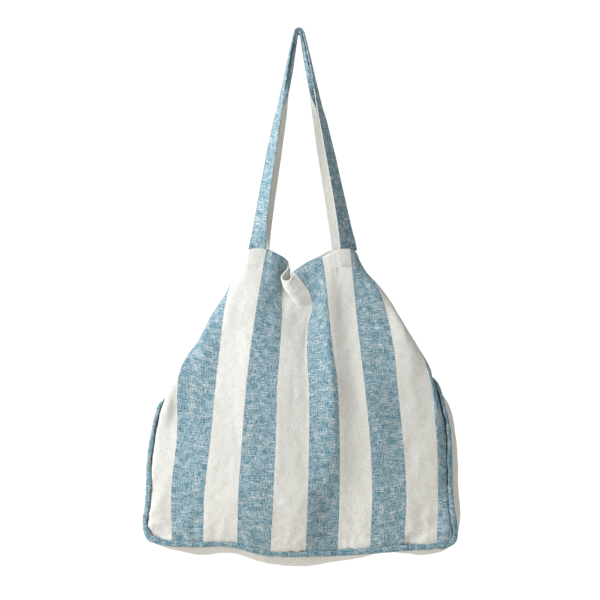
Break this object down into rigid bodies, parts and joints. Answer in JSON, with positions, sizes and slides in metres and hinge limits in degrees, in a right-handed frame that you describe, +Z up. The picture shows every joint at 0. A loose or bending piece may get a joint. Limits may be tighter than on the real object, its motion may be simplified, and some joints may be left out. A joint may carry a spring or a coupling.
{
  "type": "laundry bag",
  "caption": "Striped linen laundry bag with a box gusset, piped seams, a turned hem and a pair of twisted shoulder straps, shown empty and hanging from a hook.",
  "frame": {"origin": "crown of the hook that the straps hang from, under the top of both strap loops", "axes": "+Z up along the hanging straps, -Y the front of the bag, +X to the right seen from the front"},
  "size_m": [0.515, 0.1254, 0.8643],
  "materials": {
    "striped_linen": "woven linen, wide blue and white stripes",
    "white_linen": "woven linen, off-white",
    "blue_linen": "woven chambray linen, blue with white flecks",
    "thread": "spun sewing thread"
  },
  "bodies": {
    "bag": {"front_panel": "striped_linen", "rear_panel": "striped_linen", "left_gusset": "white_linen", "right_gusset": "white_linen", "bottom_gusset": "white_linen", "front_hem": "striped_linen", "rear_hem": "striped_linen", "left_hem": "white_linen", "right_hem": "white_linen", "front_piping": "blue_linen", "rear_piping": "blue_linen", "front_left_strap_end": "blue_linen", "front_right_strap_end": "blue_linen", "rear_left_strap_end": "blue_linen", "rear_right_strap_end": "blue_linen", "front_left_box_stitch": "thread", "front_right_box_stitch": "thread", "rear_left_box_stitch": "thread", "rear_right_box_stitch": "thread", "front_hem_stitch": "thread", "rear_hem_stitch": "thread"},
    "front_handle": {"front_strap": "blue_linen"},
    "rear_handle": {"rear_strap": "blue_linen"}
  },
  "joints": [
    {"name": "front_strap_flop", "type": "hinge", "parent": "bag", "child": "front_handle", "pos_m": [0, -0.0297, -0.3485], "axis": [1, 0, 0], "range_deg": [0, 165]},
    {"name": "rear_strap_flop", "type": "hinge", "parent": "bag", "child": "rear_handle", "pos_m": [0, 0.0297, -0.3485], "axis": [-1, 0, 0], "range_deg": [0, 165]}
  ]
}
